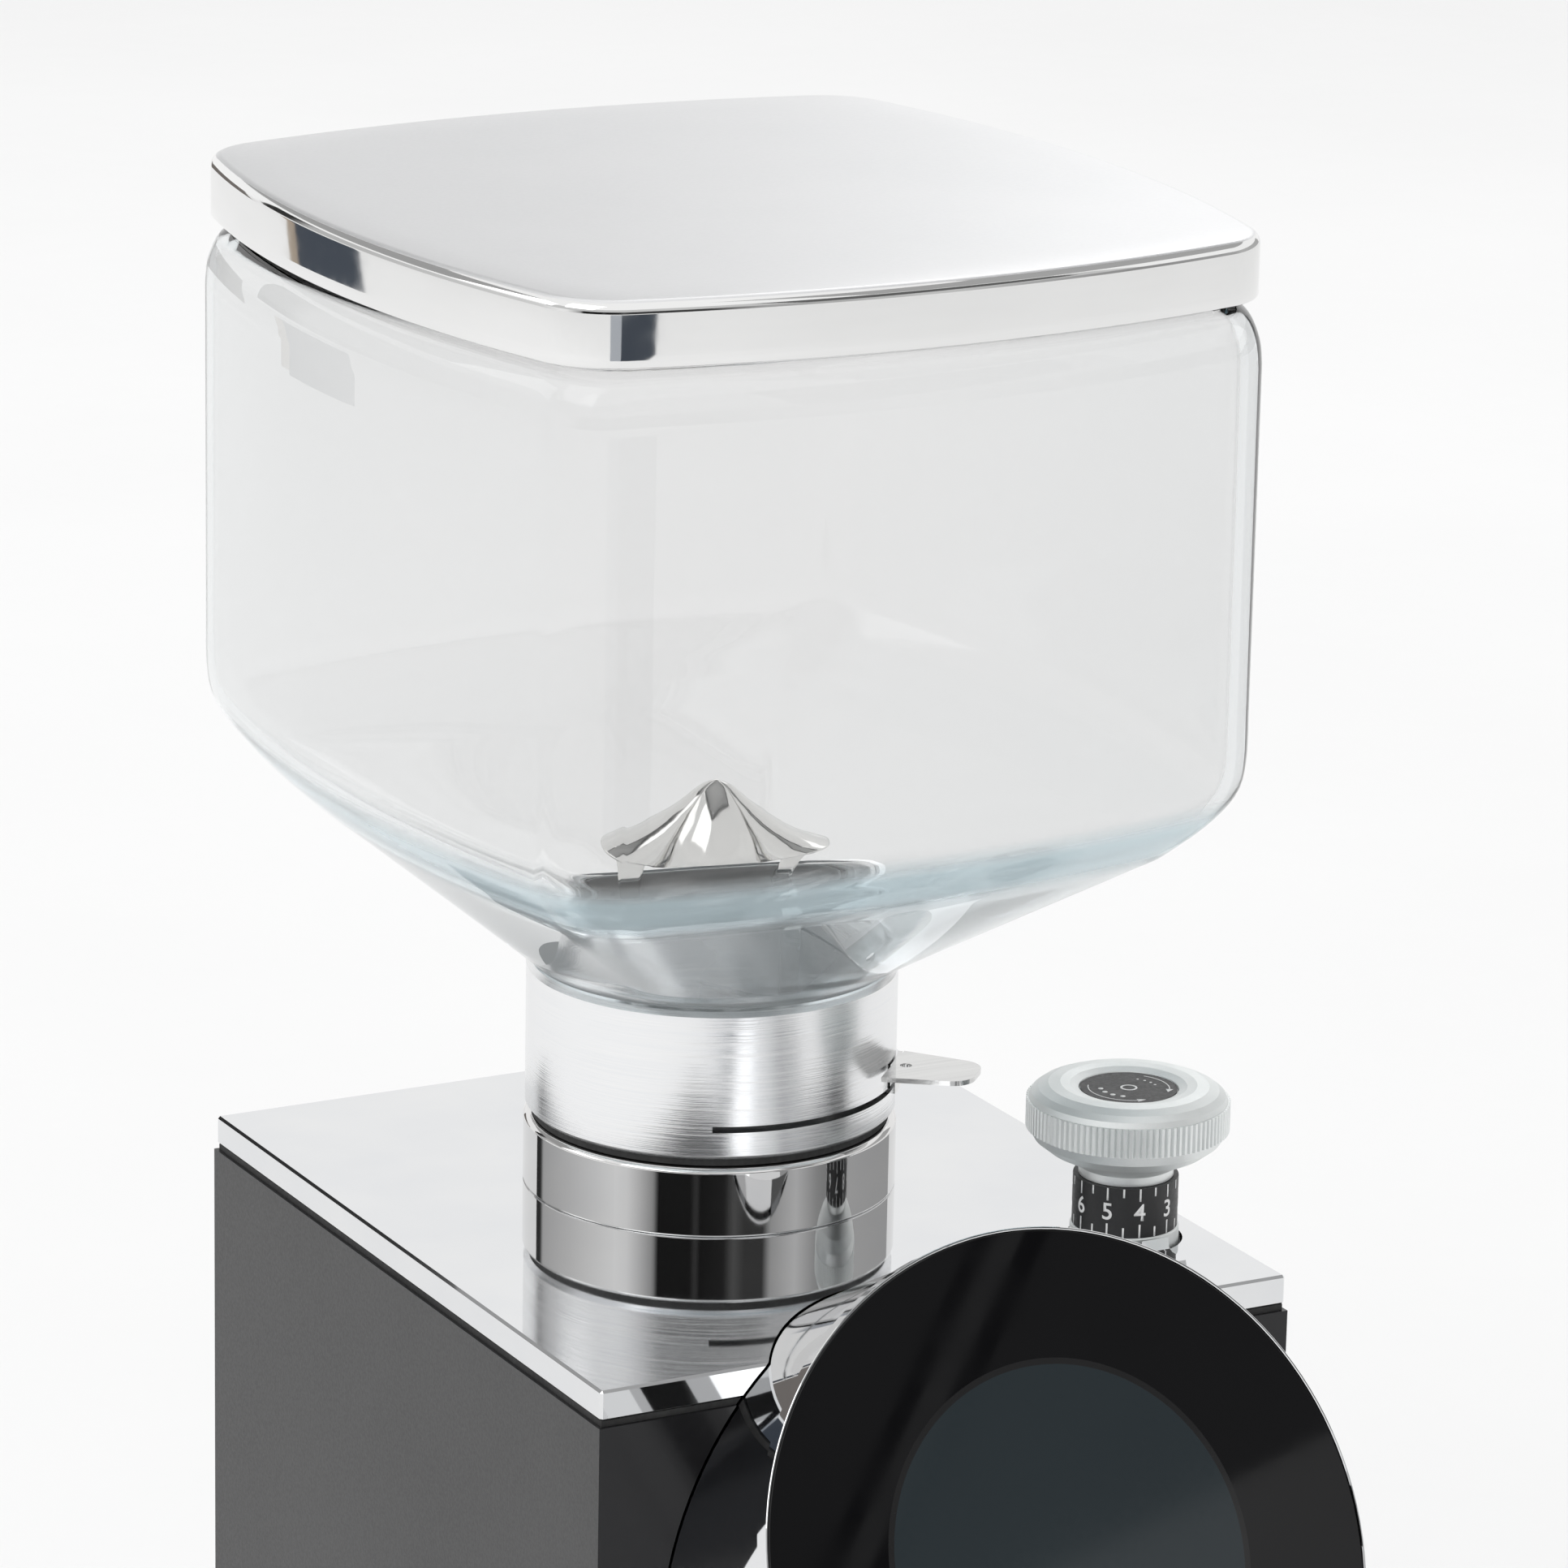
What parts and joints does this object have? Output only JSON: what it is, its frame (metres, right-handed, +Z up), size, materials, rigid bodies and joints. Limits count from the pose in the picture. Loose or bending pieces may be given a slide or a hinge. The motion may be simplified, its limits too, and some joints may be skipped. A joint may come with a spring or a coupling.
{
  "type": "burr coffee grinder",
  "caption": "Box-bodied burr grinder with a glass bean hopper, a tilted round control panel in a chrome drum, a grind dial, a spout, a portafilter fork and a tray.",
  "frame": {"origin": "on the floor under the middle of the whole machine's bounding box", "axes": "+Z up, -Y out of the front of the machine, +X to the right seen from the front"},
  "size_m": [0.1752, 0.2822, 0.462],
  "materials": {
    "top_plate": "mirror polished",
    "plate_gasket": "matt",
    "side_panel_left": "satin powder coat",
    "side_panel_right": "satin powder coat",
    "rear_panel": "satin powder coat",
    "base_pan": "satin powder coat",
    "front_panel": "gloss lacquer",
    "panel_screws": "blackened",
    "rubber_feet": "matt",
    "frame_posts": "zinc plated",
    "grounds_tray": "brushed",
    "display_drum": "mirror polished",
    "panel_rim": "mirror polished",
    "panel_glass": "smoked, polished",
    "panel_mask": "printed black",
    "display_module": "dark screen",
    "base_ring": "mirror polished",
    "hopper_collar": "fine turned",
    "collar_gasket": "matt",
    "shutter_gate": "polished stainless",
    "glass_hopper": "clear polished",
    "hopper_lid": "satin anodised",
    "lid_seal": "translucent",
    "bean_guide": "polished stainless",
    "adjust_knob": "satin anodised",
    "knob_label": "printed disc",
    "scale_sleeve": "black with white marks",
    "dial_flange": "satin anodised",
    "gear_bracket": "zinc plated",
    "index_pointer": "polished",
    "pinion_spindle": "turned",
    "idler_gear": "machined",
    "adjusting_ring": "machined",
    "burr_holder": "machined",
    "upper_burr": "hardened, ground",
    "upper_burr_screws": "zinc plated",
    "lower_burr": "hardened, ground",
    "lower_burr_screws": "zinc plated",
    "burr_carrier": "machined",
    "carrier_bolt": "zinc plated",
    "grind_chamber": "die cast",
    "bean_throat": "machined",
    "grounds_chute": "moulded",
    "spout": "polished",
    "motor_plate": "grey primer",
    "motor_can": "die cast",
    "motor_coils": "enamelled copper windings on laminations",
    "motor_rotor": "laminated",
    "motor_shaft": "ground",
    "motor_bearings": "ground",
    "cooling_fan": "moulded",
    "motor_capacitor": "drawn can",
    "control_board": "green board",
    "portafilter_fork": "brushed",
    "socket_screws": "bright",
    "start_button": "moulded",
    "button_switch": "moulded",
    "switch_frame": "moulded",
    "rocker_switch": "gloss",
    "mains_inlet": "moulded"
  },
  "bodies": {
    "housing": {"top_plate": "top_plate", "plate_gasket": "plate_gasket", "side_panel_left": "side_panel_left", "side_panel_right": "side_panel_right", "rear_panel": "rear_panel", "base_pan": "base_pan", "front_panel": "front_panel", "panel_screws": "panel_screws", "rubber_feet": "rubber_feet", "frame_posts": "frame_posts", "display_drum": "display_drum", "panel_rim": "panel_rim", "panel_glass": "panel_glass", "panel_mask": "panel_mask", "display_module": "display_module", "base_ring": "base_ring", "gear_bracket": "gear_bracket", "index_pointer": "index_pointer", "grind_chamber": "grind_chamber", "bean_throat": "bean_throat", "grounds_chute": "grounds_chute", "spout": "spout", "motor_plate": "motor_plate", "motor_can": "motor_can", "motor_coils": "motor_coils", "motor_bearings": "motor_bearings", "motor_capacitor": "motor_capacitor", "control_board": "control_board", "portafilter_fork": "portafilter_fork", "socket_screws": "socket_screws", "button_switch": "button_switch", "switch_frame": "switch_frame", "mains_inlet": "mains_inlet"},
    "dial": {"adjust_knob": "adjust_knob", "knob_label": "knob_label", "scale_sleeve": "scale_sleeve", "dial_flange": "dial_flange", "pinion_spindle": "pinion_spindle"},
    "idler": {"idler_gear": "idler_gear"},
    "adjuster": {"adjusting_ring": "adjusting_ring"},
    "burr_lift": {"burr_holder": "burr_holder", "upper_burr": "upper_burr", "upper_burr_screws": "upper_burr_screws"},
    "rotor": {"burr_carrier": "burr_carrier", "carrier_bolt": "carrier_bolt", "lower_burr": "lower_burr", "lower_burr_screws": "lower_burr_screws", "motor_shaft": "motor_shaft", "motor_rotor": "motor_rotor", "cooling_fan": "cooling_fan"},
    "hopper": {"hopper_collar": "hopper_collar", "collar_gasket": "collar_gasket", "glass_hopper": "glass_hopper", "bean_guide": "bean_guide"},
    "shutter": {"shutter_gate": "shutter_gate"},
    "lid": {"hopper_lid": "hopper_lid", "lid_seal": "lid_seal"},
    "tray": {"grounds_tray": "grounds_tray"},
    "button": {"start_button": "start_button"},
    "rocker": {"rocker_switch": "rocker_switch"}
  },
  "joints": [
    {"name": "ring_turn", "type": "hinge", "parent": "housing", "child": "adjuster", "pos_m": [0, 0.0489, 0.2359], "axis": [0, 0, 1], "range_deg": [-120, 168]},
    {"name": "dial_turn", "type": "hinge", "parent": "housing", "child": "dial", "pos_m": [0.05835, -0.0183, 0.258], "axis": [0, 0, 1], "range_deg": [-540, 756]},
    {"name": "idler_turn", "type": "hinge", "parent": "housing", "child": "idler", "pos_m": [0.04065, 0.00208, 0.2359], "axis": [0, 0, 1], "range_deg": [-444.72, 317.66]},
    {"name": "burr_gap", "type": "slide", "parent": "housing", "child": "burr_lift", "axis": [0, 0, 1], "range_m": [-0.0005, 0.0007]},
    {"name": "burr_spin", "type": "hinge", "parent": "housing", "child": "rotor", "pos_m": [0, 0.0489, 0.0938], "axis": [0, 0, 1], "continuous": true},
    {"name": "hopper_lift", "type": "slide", "parent": "housing", "child": "hopper", "axis": [0, 0, 1], "range_m": [0, 0.05]},
    {"name": "shutter_turn", "type": "hinge", "parent": "hopper", "child": "shutter", "pos_m": [0, 0.0489, 0.2798], "axis": [0, 0, 1], "range_deg": [-58, 0]},
    {"name": "lid_lift", "type": "slide", "parent": "hopper", "child": "lid", "axis": [0, 0, 1], "range_m": [0, 0.06]},
    {"name": "tray_slide", "type": "slide", "parent": "housing", "child": "tray", "axis": [0, -1, 0], "range_m": [0, 0.075]},
    {"name": "button_press", "type": "slide", "parent": "housing", "child": "button", "axis": [0, 1, 0], "range_m": [0, 0.003], "stiffness_N_per_m": 400},
    {"name": "rocker_tilt", "type": "hinge", "parent": "housing", "child": "rocker", "pos_m": [-0.004, 0.1219, 0.048], "axis": [1, 0, 0], "range_deg": [-14, 0]}
  ],
  "couplings": [
    {"joint": "dial_turn", "follows": "ring_turn", "ratio": 4.5},
    {"joint": "idler_turn", "follows": "ring_turn", "ratio": -2.6471},
    {"joint": "burr_gap", "follows": "ring_turn", "m_per_rad": 0.00023873}
  ]
}
